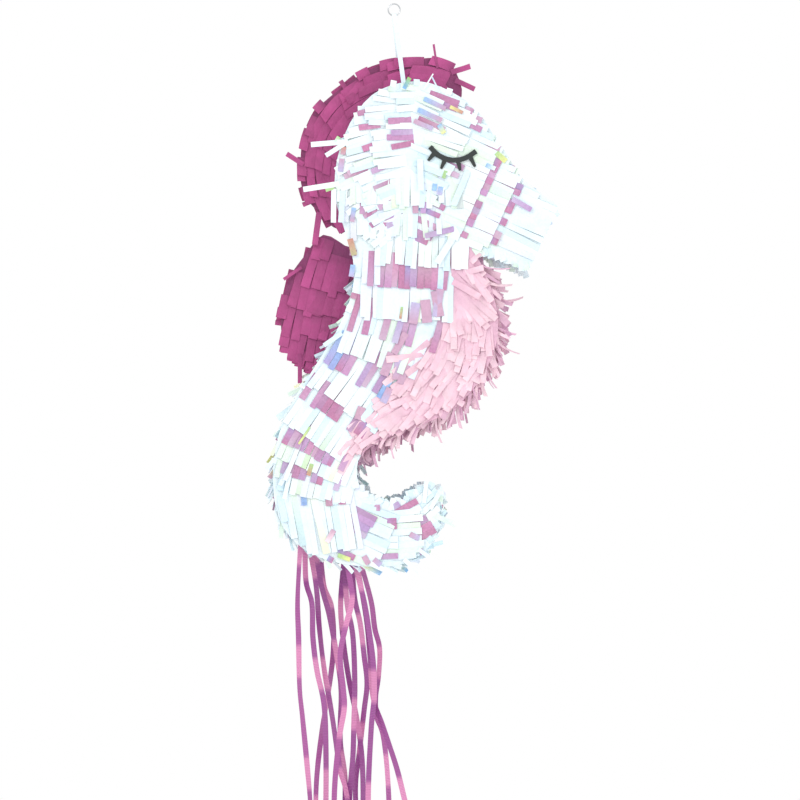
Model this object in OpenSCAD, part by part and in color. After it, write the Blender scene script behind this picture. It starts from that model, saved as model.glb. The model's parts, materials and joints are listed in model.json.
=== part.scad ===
// Seahorse pull-string pinata: a flat-sided cardboard shell with fringe on it, hung from a small
// wire ring by a ribbon loop. A trap door in the tail is opened by one ribbon, and sweets go in
// through a flap in the far side. +Z is up, +X is where the snout points, and the near side is -Y.
// The origin is the centre of the hanging ring.

/* [Body] */
// Depth of the cardboard body from side to side
body_depth = 90; // [80:1:110]
// Thickness of the cardboard
board_t = 4; // [3:0.5:5]
// Thickness of the layers of fringe on the faces
fringe_t = 3; // [2:0.5:4]
// How far the fringe on the edge walls stands outside the cardboard
edge_fringe_t = 5; // [4:0.5:6]

/* [Hanger] */
// Outside radius of the wire ring
ring_r = 6.7; // [6:0.1:9]
// Thickness of the ring's wire
wire_d = 1.4; // [1.2:0.1:2]
// Width of the flat hanging ribbon
loop_w = 5; // [4:0.5:6]

/* [Trap door] */
// Length of the trap door along the tail
door_l = 42; // [36:1:44]
// Width of the trap door across the body
door_w = 44; // [36:1:48]

/* [Filler flap] */
// Width of the filler opening in the far side
flap_w = 64; // [50:1:70]
// Height of the filler opening
flap_h = 70; // [50:1:76]

/* [Crest and fin] */
// Thickness of the crest and fin boards
trim_board_t = 4; // [3:0.5:6]
// Thickness of the tissue on each side of the crest and the fin
trim_fringe_t = 3; // [2:0.5:4]

/* [Ribbons] */
// Width of a curling ribbon
ribbon_w = 5.5; // [4:0.5:6]
// Thickness of a curling ribbon's solid
ribbon_t = 1.2; // [1:0.1:1.5]

/* [Hidden] */

half = body_depth / 2;
// Clearance of the cardboard around the trap door and the flap
gap = 0.6;
// Clearance of the tail's fringe around the trap door, which swings past it
door_fringe_gap = 2;
// Points in each span of a smooth outline
span_points = 3;
// Points round the ring, round its wire and round a knot
ring_points = 64;
wire_points = 24;
knot_points = 48;

// The visible outline, [x, z]: back from the snout's upper corner, over the crown, down
// the back, round the tail and up the belly
outline_keys = [
    [164, -203], [128, -175], [114, -153], [100, -133], [86, -111], [68, -95], [36, -80], [6, -80],
    [-22, -92], [-44, -120], [-57, -157], [-59, -193], [-50, -225], [-41, -257], [-42, -289],
    [-57, -327], [-82, -368], [-106, -407], [-118, -444], [-121, -481], [-115, -515], [-97, -541],
    [-64, -558], [-22, -564], [8, -561], [32, -547], [45, -525], [45, -497],
    [34, -484], [14, -497], [-10, -503], [-28, -494], [-37, -473], [-32, -451],
    [-4, -433], [30, -421], [60, -405], [86, -377], [102, -342], [103, -307], [92, -271],
    [82, -249], [104, -253], [136, -265]
];
// Outline keys where one edge wall ends and the next begins
k_forehead = 2;
k_nape = 8;
k_back = 13;
k_lower_back = 15;
k_heel = 19;
k_base = 22;
k_tip = 25;
k_inner = 28;
k_lower_belly = 34;
k_front_belly = 37;
k_throat = 40;
k_under = 42;
k_end = 43;

// The border of the pink belly inside the outline, from its top to its lower end
belly_border = [
    [76, -244], [56, -247], [58, -280], [50, -309], [42, -331], [28, -341], [17, -362], [10, -388],
    [-10, -402], [-24, -416], [-38, -443], [-32, -451]
];
k_belly_top = 41;
k_belly_end = 33;

// The crest and the fin; the last keys of each lie inside the body
crest_keys = [
    [66, -97], [69, -81], [60, -59], [46, -50], [26, -51], [-6, -54], [-32, -65], [-58, -83],
    [-80, -103], [-91, -127], [-95, -161], [-92, -187], [-78, -205], [-62, -221], [-52, -223]
];
fin_keys = [
    [-50, -240], [-72, -229], [-90, -249], [-106, -272], [-113, -297], [-115, -322], [-111, -345],
    [-98, -358], [-84, -367]
];

// The closed eye: an arc through its points, and the base and tip of each lash
eye_arc = [[36, -144], [45, -153], [58, -157.5], [71, -155.5], [82, -148.5]];
eye_lashes = [
    [[40, -151], [34, -158]], [[51, -157], [47, -166]], [[64, -158], [66, -168]],
    [[76, -154], [81, -164]]
];
lash_w = 5;
lash_t = 0.8;

// The hanging ribbon: one half of it seen along x, [y, z] from the ring's lower wire
loop_keys = [[0, 2.1], [1.5, 1.2], [2.2, -2], [6.2, -24], [14, -66], [15, -74], [15, -94]];
loop_t = 0.6;
// Where it goes into the crown, and the angle at which it leans
crown_x = 11;
loop_lean = 8;
strand_y = 15;
slot = [10, 3];
// The cardboard patch and the knots under the crown; the knots sit a little ahead of the slots
patch = [30, 50, 2];
patch_z = -96;
knot_d = 8;
knot_z = -100;
knot_ahead = 1;

// Trap door: the hinge is at its end nearest the tail tip, on the cardboard's outside
door_hinge_x = -16;
// The fringe stands back from the trap door's hinge line by this
door_fringe_back = 8;
// Filler opening: its centre
flap_centre = [12, -315];
flap_fringe_back = 8;

// The head and snout meet along a line through these points, and the head and body at the neck
snout_border = [[72, -219], [86, -163]];
neck_point = [0, -255];
// The tail's own fringe begins at this key
k_tail = 18;
// The block round the trap door, from its lowest point
door_z0 = -580;
door_block_h = 60;
// The slots in the crown, from their lowest point
slot_z0 = -100;
slot_h = 30;
// Tape under the fringe, [x0, x1, y0, y1], and its thickness
tape_t = 0.8;
rear_tape = [-96, -72, -38, 38];
door_tape = [-56, -44, -8, 8];
tape_y0 = 24;
tape_y1 = 42;
front_tape = [-56, -30, -42, 42];
// The lower, inner side of the fin
fin_root = [[-40, -357], [-20, -307], [-25, -247]];
// Eight corners of a ribbon's section: across its width and through its thickness, as halves
ribbon_section = [
    [1, -0.4], [1, 0.4], [0.8, 1], [-0.8, 1], [-1, 0.4], [-1, -0.4], [-0.8, -1], [0.8, -1]
];

// Routes of the curling ribbons, [x, z], and the y of each
ribbon_routes = [
    [[-50, -564], [-48, -603], [-42, -637], [-40, -686], [-41, -728], [-42, -761], [-45, -797],
        [-47, -857], [-42, -927]],
    [[-94, -540], [-97, -597], [-96, -637], [-95, -686], [-92, -717], [-87, -769], [-84, -807],
        [-82, -867], [-86, -922]],
    [[-90, -542.5], [-89, -580], [-83, -603], [-82, -637], [-78, -670], [-71, -703], [-69, -742],
        [-69, -807], [-72, -887]],
    [[-86, -545.5], [-79, -587], [-76, -627], [-71, -670], [-64, -711], [-59, -744], [-55, -772],
        [-47, -807], [-44, -897]],
    [[-81, -548.2], [-74, -587], [-66, -617], [-58, -661], [-54, -695], [-55, -744], [-50, -786],
        [-52, -847], [-58, -912]],
    [[-48, -558], [-42, -595], [-48, -622], [-54, -653], [-51, -686], [-50, -707], [-55, -737],
        [-60, -797], [-58, -877]],
    [[-44, -558.5], [-41, -600], [-35, -628], [-31, -661], [-28, -689], [-31, -717], [-36, -761],
        [-40, -802], [-36, -887]],
    [[-40, -559], [-30, -600], [-25, -630], [-21, -661], [-20, -695], [-23, -728], [-26, -797],
        [-24, -857], [-30, -917]],
    [[-36, -559.5], [-24, -603], [-20, -632], [-15, -653], [-16, -681], [-19, -703], [-18, -723],
        [-11, -744], [-6, -797], [-4, -877]],
    [[-38, -559], [-28, -617], [-24, -657], [-21, -697], [-12, -723], [-5, -744], [3, -769],
        [10, -797], [22, -847], [26, -902]],
    [[-76, -550.7], [-72, -587], [-64, -609], [-62, -647], [-66, -687], [-74, -737], [-80, -797],
        [-79, -877]],
    [[-51, -557.5], [-55, -607], [-52, -647], [-46, -687], [-38, -727], [-33, -767], [-32, -817],
        [-34, -887]]
];
ribbon_ys = [0, -30, -18, -6, 6, -36, 36, -31, 31, -26, 18, 27];

white_film = "aliceblue";
pink_tissue = "lightpink";
magenta_tissue = "mediumvioletred";
card_colour = "burlywood";
silver = "silver";
ribbon_colour = "mediumorchid";
lash_colour = "black";
tape_colour = "gainsboro";

// Points on a smooth curve through open keys (Catmull-Rom), with n points in each span
function knot(keys, i) = keys[max(0, min(len(keys) - 1, i))];
function curve_at(a, b, c, d, t) =
    0.5 * (2 * b + (c - a) * t + (2 * a - 5 * b + 4 * c - d) * t * t
    + (3 * b - a - 3 * c + d) * t * t * t);
function smooth(keys, n = span_points) = concat(
    [for (i = [0 : len(keys) - 2]) for (j = [0 : n - 1])
        curve_at(knot(keys, i - 1), keys[i], keys[i + 1], knot(keys, i + 2), j / n)],
    [keys[len(keys) - 1]]
);
function unit(v) = v / norm(v);
function left_of(v) = [-v[1], v[0]];
// A closed outline moved inward by d, with its corners mitred (the outline runs anticlockwise in x, z
// seen along +Y, so its inside is on the left)
function mitre(a, b, c, d) =
    let (m = left_of(unit(b - a)), n = left_of(unit(c - b)))
    b + d * (m + n) / (1 + m * n);
function inset(points, d) =
    let (n = len(points))
    [for (i = [0 : n - 1]) mitre(points[(i + n - 1) % n], points[i], points[(i + 1) % n], d)];
// The same for an open line of points
function beside(points, d) =
    let (n = len(points) - 1)
    [for (i = [0 : n])
        mitre(i == 0 ? 2 * points[0] - points[1] : points[i - 1], points[i],
            i == n ? 2 * points[n] - points[n - 1] : points[i + 1], d)];
function back_to_front(points) = [for (i = [len(points) - 1 : -1 : 0]) points[i]];
function part_of(points, a, b) = [for (i = [a : b]) points[i]];

skin_line = smooth(outline_keys);
card_line = inset(skin_line, edge_fringe_t);
inner_line = inset(card_line, board_t);
tape_line = inset(skin_line, edge_fringe_t - tape_t);
border_line = smooth(belly_border);
crest_line = smooth(crest_keys);
fin_line = smooth(fin_keys);
last = len(skin_line) - 1;

// Index of an outline key in the smooth lines
function at(key) = key * span_points;

// Things drawn in x and z, upright, spanning y0 to y1
module upright(y0, y1) {
    translate([0, y1, 0]) rotate([90, 0, 0]) linear_extrude(y1 - y0) children();
}
// The band between two lines from point a to point b
module band(outer, inner, a, b) {
    polygon(concat(part_of(outer, a, b), back_to_front(part_of(inner, a, b))));
}
// The straight end of the snout, which closes the outline
module end_band(outer, inner) {
    polygon([outer[last], outer[0], inner[0], inner[last]]);
}
module wall(from_key, to_key) {
    upright(board_t - half, half - board_t) band(card_line, inner_line, at(from_key), at(to_key));
}
module edge_fringe(from_key, to_key) {
    upright(-half, half) band(skin_line, card_line, at(from_key), at(to_key));
}
// A face sheet of fringe on the near side (side = -1) or the far side (side = 1)
module side_sheet(side) {
    if (side < 0) upright(-half - fringe_t, -half) children();
    else upright(half, half + fringe_t) children();
}

// Regions of the side faces
module snout_region() {
    polygon(concat(part_of(skin_line, at(k_throat + 1), last), part_of(skin_line, 0, at(k_forehead)),
        [snout_border[1], snout_border[0]]));
}
module head_region() {
    polygon(concat(part_of(skin_line, at(k_forehead), at(k_back)), [neck_point],
        back_to_front(part_of(border_line, 0, at(1))), [skin_line[at(k_belly_top)]],
        snout_border));
}
module body_region() {
    polygon(concat(part_of(skin_line, at(k_back), at(k_tail)), [skin_line[at(k_belly_end)]],
        back_to_front(part_of(border_line, at(1), len(border_line) - 1)), [neck_point]));
}
module belly_region() {
    polygon(concat(part_of(skin_line, at(k_belly_end), at(k_belly_top)),
        part_of(border_line, 0, len(border_line) - 2)));
}
module tail_region() {
    polygon(part_of(skin_line, at(k_tail), at(k_belly_end)));
}

// The filler opening, larger all round by extra
module flap_hole(extra = 0) {
    translate(flap_centre) square([flap_w + 2 * extra, flap_h + 2 * extra], center = true);
}
// A block round the trap door, from back_off behind its hinge line, larger all round by extra
module door_block(extra = 0, back_off = 0) {
    x0 = door_hinge_x - door_l - extra;
    depth = door_w + 2 * extra;
    translate([x0, -depth / 2, door_z0])
        cube([door_l + 2 * extra - back_off, depth, door_block_h]);
}
// The two slots that the hanging ribbon goes through
module loop_slots() {
    for (side = [-1, 1])
        translate([crown_x - slot[0] / 2, side * strand_y - slot[1] / 2, slot_z0])
            cube([slot[0], slot[1], slot_h]);
}
// The crest and the fin, as far as the line that they stand on
module crest_shape(line) {
    difference() {
        polygon(crest_line);
        polygon(line);
    }
}
module fin_shape(line) {
    difference() {
        polygon(concat(fin_line, fin_root));
        polygon(line);
    }
}
// A board that stands in the middle plane, and the sheet of tissue on one side of it
module trim_board() {
    upright(-trim_board_t / 2, trim_board_t / 2) children();
}
module trim_sheet(side) {
    y = trim_board_t / 2;
    if (side < 0) upright(-y - trim_fringe_t, -y) children();
    else upright(y, y + trim_fringe_t) children();
}

module hanging_ring() {
    color(silver)
        rotate([90, 0, 0])
            rotate_extrude($fn = ring_points)
                translate([ring_r - wire_d / 2, 0]) circle(d = wire_d, $fn = wire_points);
}
// A line of points as a strip of even width
module stroke(points, width) {
    polygon(concat(beside(points, width / 2), back_to_front(beside(points, -width / 2))));
}
module ribbon_loop() {
    other_half = [for (i = [len(loop_keys) - 1 : -1 : 1]) [-loop_keys[i][0], loop_keys[i][1]]];
    color(white_film)
        translate([0, 0, wire_d / 2 - ring_r])
            rotate([0, -loop_lean, 0])
                rotate([90, 0, 90])
                    translate([0, 0, -loop_w / 2])
                        linear_extrude(loop_w)
                            stroke(smooth(concat(other_half, loop_keys)), loop_t);
}
module hanger_knot() {
    color(white_film)
        for (side = [-1, 1])
            translate([crown_x + knot_ahead, side * strand_y, knot_z])
                sphere(d = knot_d, $fn = knot_points);
}
module crown_patch() {
    color(card_colour)
        difference() {
            translate([crown_x - patch[0] / 2, -patch[1] / 2, patch_z])
                cube(patch);
            loop_slots();
        }
}

module side_panel(side) {
    y0 = side < 0 ? -half : half - board_t;
    upright(y0, y0 + board_t) children();
}
module near_side_panel() {
    color(card_colour) side_panel(-1) polygon(card_line);
}
module far_side_panel() {
    color(card_colour)
        side_panel(1)
            difference() {
                polygon(card_line);
                flap_hole(gap);
            }
}
module forehead_wall() {
    color(card_colour)
        difference() {
            wall(k_forehead, k_nape);
            loop_slots();
        }
}
module nape_wall() {
    color(card_colour) wall(k_nape, k_back);
}
module upper_back_wall() {
    color(card_colour) wall(k_back, k_lower_back);
}
module lower_back_wall() {
    color(card_colour) wall(k_lower_back, k_heel);
}
module tail_heel_wall() {
    color(card_colour) wall(k_heel, k_base);
}
module tail_base_wall() {
    color(card_colour)
        difference() {
            wall(k_base, k_tip);
            door_block(gap);
        }
}
module tail_tip_wall() {
    color(card_colour) wall(k_tip, k_inner);
}
module tail_inner_wall() {
    color(card_colour)
        difference() {
            wall(k_inner, k_lower_belly);
            wall(k_tip, k_inner);
        }
}
module lower_belly_wall() {
    color(card_colour) wall(k_lower_belly, k_front_belly);
}
module front_belly_wall() {
    color(card_colour) wall(k_front_belly, k_throat);
}
module throat_wall() {
    color(card_colour) wall(k_throat, k_under);
}
module snout_under_wall() {
    color(card_colour) wall(k_under, k_end);
}
module snout_end_wall() {
    color(card_colour) upright(board_t - half, half - board_t) end_band(card_line, inner_line);
}
module snout_top_wall() {
    color(card_colour) wall(0, k_forehead);
}

module trap_door() {
    color(card_colour)
        intersection() {
            wall(k_base, k_tip);
            door_block();
        }
}
module filler_flap() {
    color(card_colour) side_panel(1) flap_hole();
}
module crest_board() {
    color(magenta_tissue) trim_board() crest_shape(card_line);
}
module fin_board() {
    color(magenta_tissue) trim_board() fin_shape(card_line);
}

module lash_shape() {
    stroke(smooth(eye_arc), lash_w);
    for (lash = eye_lashes) {
        across = left_of(unit(lash[1] - lash[0])) * lash_w / 2;
        polygon([lash[0] + across, lash[0] - across, lash[1] - across / 2, lash[1] + across / 2]);
    }
}
module near_eyelash() {
    y = -half - fringe_t;
    color(lash_colour) upright(y - lash_t, y) lash_shape();
}
module far_eyelash() {
    y = half + fringe_t;
    color(lash_colour) upright(y, y + lash_t) lash_shape();
}

module near_head_fringe() {
    color(white_film) side_sheet(-1) head_region();
}
module far_head_fringe() {
    color(white_film) side_sheet(1) head_region();
}
module crown_edge_fringe() {
    color(white_film)
        difference() {
            edge_fringe(k_forehead, k_back);
            loop_slots();
            trim_board() crest_shape(card_line);
            trim_board() fin_shape(card_line);
        }
}
module snout_fringe() {
    color(white_film) {
        side_sheet(-1) snout_region();
        side_sheet(1) snout_region();
        edge_fringe(0, k_forehead);
        edge_fringe(k_throat + 1, k_end);
        upright(-half, half) end_band(skin_line, card_line);
    }
}
module near_body_fringe() {
    color(white_film) side_sheet(-1) body_region();
}
module far_body_fringe() {
    color(white_film)
        side_sheet(1)
            difference() {
                body_region();
                flap_hole(flap_fringe_back);
            }
}
module back_edge_fringe() {
    color(white_film)
        difference() {
            edge_fringe(k_back, k_tail);
            trim_board() fin_shape(card_line);
        }
}
module near_belly_fringe() {
    color(pink_tissue) side_sheet(-1) belly_region();
}
module far_belly_fringe() {
    color(pink_tissue)
        side_sheet(1)
            difference() {
                belly_region();
                flap_hole(flap_fringe_back);
            }
}
module belly_edge_fringe() {
    color(pink_tissue) edge_fringe(k_belly_end, k_throat + 1);
}
module tail_fringe() {
    color(white_film) {
        side_sheet(-1) tail_region();
        side_sheet(1) tail_region();
        difference() {
            edge_fringe(k_tail, k_belly_end);
            door_block(door_fringe_gap);
            ribbon_tape(rear_tape);
            ribbon_tape(front_tape);
        }
    }
}
module near_crest_fringe() {
    color(magenta_tissue) trim_sheet(-1) crest_shape(skin_line);
}
module far_crest_fringe() {
    color(magenta_tissue) trim_sheet(1) crest_shape(skin_line);
}
module near_fin_fringe() {
    color(magenta_tissue) trim_sheet(-1) fin_shape(skin_line);
}
module far_fin_fringe() {
    color(magenta_tissue) trim_sheet(1) fin_shape(skin_line);
}
module trap_door_fringe() {
    color(white_film)
        difference() {
            intersection() {
                edge_fringe(k_base, k_tip);
                door_block(0, door_fringe_back);
            }
            ribbon_tape(door_tape);
        }
}
module filler_flap_fringe() {
    color(white_film)
        side_sheet(1)
            translate(flap_centre - [0, flap_fringe_back / 2])
                square([flap_w, flap_h - flap_fringe_back], center = true);
}

// A strip of tape on the outside of the tail's cardboard: [x0, x1, y0, y1]
module ribbon_tape(span) {
    intersection() {
        upright(-half, half) band(tape_line, card_line, at(k_heel), at(k_tip));
        translate([span[0], span[2], door_z0])
            cube([span[1] - span[0], span[3] - span[2], door_block_h]);
    }
}
module rear_ribbon_tape() {
    color(tape_colour) ribbon_tape(rear_tape);
}
module front_ribbon_tape() {
    color(tape_colour)
        for (side = [-1, 1])
            ribbon_tape([front_tape[0], front_tape[1], min(side * tape_y0, side * tape_y1),
                max(side * tape_y0, side * tape_y1)]);
}
module door_ribbon_tape() {
    color(tape_colour) ribbon_tape(door_tape);
}

// A flat ribbon swept along its route at y, with an eight-sided section
function ribbon_ring(points, i, y) =
    let (a = points[max(0, i - 1)], b = points[min(len(points) - 1, i + 1)],
        across = left_of(unit(b - a)) * ribbon_w / 2)
    [for (c = ribbon_section)
        [points[i][0] + across[0] * c[0], y + c[1] * ribbon_t / 2,
            points[i][1] + across[1] * c[0]]];
module ribbon(i) {
    points = ribbon_routes[i];
    n = len(points);
    sides = len(ribbon_section);
    color(ribbon_colour)
        polyhedron(
            [for (k = [0 : n - 1]) each ribbon_ring(points, k, ribbon_ys[i])],
            concat([[for (j = [sides - 1 : -1 : 0]) j]],
                [for (k = [0 : n - 2]) for (j = [0 : sides - 1])
                    [k * sides + j, k * sides + (j + 1) % sides,
                        (k + 1) * sides + (j + 1) % sides, (k + 1) * sides + j]],
                [[for (j = [0 : sides - 1]) (n - 1) * sides + j]])
        );
}
module pull_ribbon() {
    ribbon(0);
}

hanging_ring();
ribbon_loop();
hanger_knot();
crown_patch();
near_side_panel();
far_side_panel();
forehead_wall();
nape_wall();
upper_back_wall();
lower_back_wall();
tail_heel_wall();
tail_base_wall();
tail_tip_wall();
tail_inner_wall();
lower_belly_wall();
front_belly_wall();
throat_wall();
snout_under_wall();
snout_end_wall();
snout_top_wall();
trap_door();
filler_flap();
crest_board();
fin_board();
near_eyelash();
far_eyelash();
near_head_fringe();
far_head_fringe();
crown_edge_fringe();
snout_fringe();
near_body_fringe();
far_body_fringe();
back_edge_fringe();
near_belly_fringe();
far_belly_fringe();
belly_edge_fringe();
tail_fringe();
near_crest_fringe();
far_crest_fringe();
near_fin_fringe();
far_fin_fringe();
trap_door_fringe();
filler_flap_fringe();
rear_ribbon_tape();
front_ribbon_tape();
door_ribbon_tape();
pull_ribbon();
for (i = [1 : len(ribbon_routes) - 1])
    ribbon(i);
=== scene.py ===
"""Looks of the seahorse pinata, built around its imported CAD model.

Every strip of fringe is a thin closed flap of its own. The flaps hang in rows, one over the next, on the
faces and edge walls whose outlines are read from the CAD nodes, and each region of them is one piece.
Lengths are in metres, in the row frame: +Z up, +X the way the snout points, near side -Y.
"""

import json
import math
import random

import bpy
import numpy as np
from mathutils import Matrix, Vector
from mathutils.geometry import tessellate_polygon


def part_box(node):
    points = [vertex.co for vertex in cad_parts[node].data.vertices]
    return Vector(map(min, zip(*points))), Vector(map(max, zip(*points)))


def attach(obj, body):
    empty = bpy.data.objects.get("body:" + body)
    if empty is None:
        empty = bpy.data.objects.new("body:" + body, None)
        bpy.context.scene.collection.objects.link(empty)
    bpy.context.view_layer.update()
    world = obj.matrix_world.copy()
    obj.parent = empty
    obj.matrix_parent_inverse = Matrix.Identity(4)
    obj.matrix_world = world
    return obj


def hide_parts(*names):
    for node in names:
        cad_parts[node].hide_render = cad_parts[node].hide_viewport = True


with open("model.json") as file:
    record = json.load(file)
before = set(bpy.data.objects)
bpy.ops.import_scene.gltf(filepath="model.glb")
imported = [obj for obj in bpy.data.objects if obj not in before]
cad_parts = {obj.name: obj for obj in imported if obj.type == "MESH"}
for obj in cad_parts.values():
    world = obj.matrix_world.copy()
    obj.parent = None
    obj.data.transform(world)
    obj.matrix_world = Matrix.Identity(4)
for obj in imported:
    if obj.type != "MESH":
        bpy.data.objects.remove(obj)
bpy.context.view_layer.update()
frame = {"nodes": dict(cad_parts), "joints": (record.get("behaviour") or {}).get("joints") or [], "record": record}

MM = 0.001
HALF = abs(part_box("near_side_panel")[0].y)
BOARD_HALF = abs(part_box("crest_board")[0].y)
rng = random.Random(7)

# ---- camera, light and floor

FRAME_WIDTH = 0.8
CAMERA_AT = (0.006, -2.6, -0.397)
SENSOR = 36.0
LIGHT_AIM = (0, 0, -0.35)
# Each light's place, its size in metres and its power in watts
LIGHTS = {"key": ((-1.2, -1.8, 0.9), 0.9, 14), "fill": ((1.6, -1.6, -0.2), 1.4, 5),
          "back_light": ((-0.6, 2.0, 0.8), 1.2, 8), "low_fill": ((0.5, -1.6, -1.15), 1.2, 5),
          "front_fill": ((1.5, -0.3, -1.0), 1.2, 5)}
FLOOR_SIZE = 5.6
FLOOR_Z = -1.25


def make_camera():
    data = bpy.data.cameras.new("camera")
    data.sensor_width = SENSOR
    data.lens = SENSOR * (-CAMERA_AT[1] - HALF) / FRAME_WIDTH
    camera = bpy.data.objects.new("camera", data)
    camera.location = CAMERA_AT
    camera.rotation_euler = (math.pi / 2, 0, 0)
    bpy.context.scene.collection.objects.link(camera)
    bpy.context.scene.camera = camera


def area_light(name, place, size, power):
    data = bpy.data.lights.new(name, "AREA")
    data.shape = "DISK"
    data.size = size
    data.energy = power
    light = bpy.data.objects.new(name, data)
    light.location = place
    light.rotation_euler = (Vector(LIGHT_AIM) - Vector(place)).to_track_quat("-Z", "Y").to_euler()
    bpy.context.scene.collection.objects.link(light)


def make_studio():
    world = bpy.data.worlds.new("studio")
    world.use_nodes = True
    background = world.node_tree.nodes["Background"]
    background.inputs["Color"].default_value = (1, 1, 1, 1)
    background.inputs["Strength"].default_value = 1.0
    bpy.context.scene.world = world
    bpy.context.scene.view_settings.view_transform = "Standard"
    for name, (place, size, power) in LIGHTS.items():
        area_light(name, place, size, power)
    bpy.ops.mesh.primitive_plane_add(size=FLOOR_SIZE, location=(0, 0, FLOOR_Z))
    floor = bpy.context.object
    floor.name = "floor"
    material = bpy.data.materials.new("floor")
    material.use_nodes = True
    shader = material.node_tree.nodes["Principled BSDF"]
    shader.inputs["Base Color"].default_value = (0.86, 0.86, 0.86, 1)
    shader.inputs["Roughness"].default_value = 0.8
    floor.data.materials.append(material)


# ---- materials


class Nodes:
    """A material's node tree, with short ways to add and link nodes."""

    def __init__(self, name):
        self.material = bpy.data.materials.new(name)
        self.material.use_nodes = True
        self.tree = self.material.node_tree
        self.shader = self.tree.nodes["Principled BSDF"]

    def add(self, kind, **values):
        node = self.tree.nodes.new(kind)
        for name, value in values.items():
            if name in node.inputs:
                node.inputs[name].default_value = value
            else:
                setattr(node, name, value)
        return node

    def link(self, out, into):
        self.tree.links.new(out, into)

    def set(self, **values):
        for name, value in values.items():
            self.shader.inputs[name.replace("_", " ")].default_value = value

    def place(self):
        return self.add("ShaderNodeTexCoord").outputs["Object"]

    def tint(self):
        return self.add("ShaderNodeAttribute", attribute_name="tint").outputs["Color"]

    def colour(self, out):
        self.link(out, self.shader.inputs["Base Color"])

    def rough(self, scale, low, high):
        """Roughness that varies between two values."""
        ramp = self.ramp(self.noise(scale, 2), [(0.3, grey(low)), (0.7, grey(high))])
        self.link(ramp, self.shader.inputs["Roughness"])

    def noise(self, scale, detail=3.0, stretch=None):
        node = self.add("ShaderNodeTexNoise", Scale=scale, Detail=detail)
        place = self.place()
        if stretch:
            mapping = self.add("ShaderNodeMapping", Scale=stretch)
            self.link(place, mapping.inputs["Vector"])
            place = mapping.outputs["Vector"]
        self.link(place, node.inputs["Vector"])
        return node.outputs["Fac"]

    def ramp(self, fac, stops):
        node = self.add("ShaderNodeValToRGB")
        self.link(fac, node.inputs["Fac"])
        elements = node.color_ramp.elements
        while len(elements) < len(stops):
            elements.new(0.5)
        for element, (at, colour) in zip(elements, stops):
            element.position = at
            element.color = (*colour, 1)
        return node.outputs["Color"]

    def multiply(self, a, b, amount=1.0):
        node = self.add("ShaderNodeMix", data_type="RGBA", blend_type="MULTIPLY")
        node.inputs[0].default_value = amount
        self.link(a, node.inputs[6])
        self.link(b, node.inputs[7])
        return node.outputs[2]

    def blend(self, a, b, share):
        node = self.add("ShaderNodeMix", data_type="RGBA", blend_type="MIX")
        self.link(share, node.inputs[0])
        self.link(a, node.inputs[6])
        self.link(b, node.inputs[7])
        return node.outputs[2]

    def bump(self, height, distance, strength=1.0):
        node = self.add("ShaderNodeBump", Distance=distance, Strength=strength)
        self.link(height, node.inputs["Height"])
        self.link(node.outputs["Normal"], self.shader.inputs["Normal"])


def grey(v):
    return (v, v, v)


def film_material():
    """Iridescent film: white with a painted sheen of faint tints in soft patches, and mottled where its colour is
    strong.
    """
    n = Nodes("iridescent_film")
    tint = n.tint()
    # Painted sheen: the film's pale cyan and yellow iridescent tints, in soft patches
    painted_sheen = n.ramp(n.noise(34, 3), [(0.32, (0.90, 0.97, 1.0)), (0.46, grey(1.0)), (0.56, grey(1.0)),
                                    (0.70, (0.98, 1.0, 0.90))])
    specks = n.ramp(n.noise(380, 5), [(0.36, grey(0.80)), (0.64, grey(1.12))])
    speckled = n.multiply(tint, specks)
    strength = n.add("ShaderNodeSeparateColor", mode="HSV")
    n.link(tint, strength.inputs["Color"])
    colour = n.multiply(n.blend(tint, speckled, strength.outputs["Green"]), painted_sheen, 0.8)
    n.colour(colour)
    n.rough(240, 0.22, 0.42)
    n.set(Specular_IOR_Level=0.5, Coat_Weight=0.2, Coat_Roughness=0.15,
          Thin_Film_Thickness=420.0, Thin_Film_IOR=1.45)
    n.bump(n.noise(420, 3), 0.0003, 0.4)
    return n.material


def tissue_material(name, crinkle, matt):
    """Crepe tissue: matt paper, crinkled across the strip and mottled."""
    n = Nodes(name)
    tint = n.tint()
    mottle = n.ramp(n.noise(110, 4), [(0.3, grey(0.86)), (0.7, grey(1.04))])
    fibres = n.ramp(n.noise(1500, 3), [(0.3, grey(0.93)), (0.7, grey(1.0))])
    colour = n.multiply(n.multiply(tint, mottle), fibres)
    n.colour(colour)
    n.rough(300, matt, matt + 0.15)
    n.set(Sheen_Weight=0.2, Sheen_Roughness=0.6)
    n.bump(n.noise(500, 4, (1.0, 1.0, 0.5)), 0.0006, crinkle)
    return n.material


def ribbon_material():
    """Curling ribbon: glossy film with fine ribs across it, bumped, with their light and shade painted as bands.
    """
    n = Nodes("curling_ribbon_film")
    tint = n.tint()
    mark = n.add("ShaderNodeAttribute", attribute_name="mark").outputs["Fac"]
    ribs = n.add("ShaderNodeMath", operation="SINE")
    n.link(mark, ribs.inputs[0])
    # Painted rib light and shade: lighter and darker bands across the ribbon
    light = n.ramp(ribs.outputs[0], [(0.0, grey(0.84)), (1.0, grey(1.08))])
    n.colour(n.multiply(tint, light))
    n.set(Roughness=0.32, Coat_Weight=0.2, Coat_Roughness=0.2)
    n.bump(ribs.outputs[0], 0.0002, 0.5)
    return n.material


def card_material(name, colour):
    """Corrugated board: mottled brown liner with faint flutes and flecks."""
    n = Nodes(name)
    flecks = n.ramp(n.noise(700, 5), [(0.35, grey(0.8)), (0.6, grey(1.0))])
    stain = n.ramp(n.noise(14, 3), [(0.3, tuple(c * 0.88 for c in colour)), (0.7, colour)])
    n.colour(n.multiply(stain, flecks))
    n.set(Roughness=0.88)
    flutes = n.add("ShaderNodeTexWave", Scale=40.0, Distortion=0.4, bands_direction="Z")
    n.link(n.place(), flutes.inputs["Vector"])
    n.bump(flutes.outputs["Fac"], 0.0004, 0.35)
    return n.material


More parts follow.
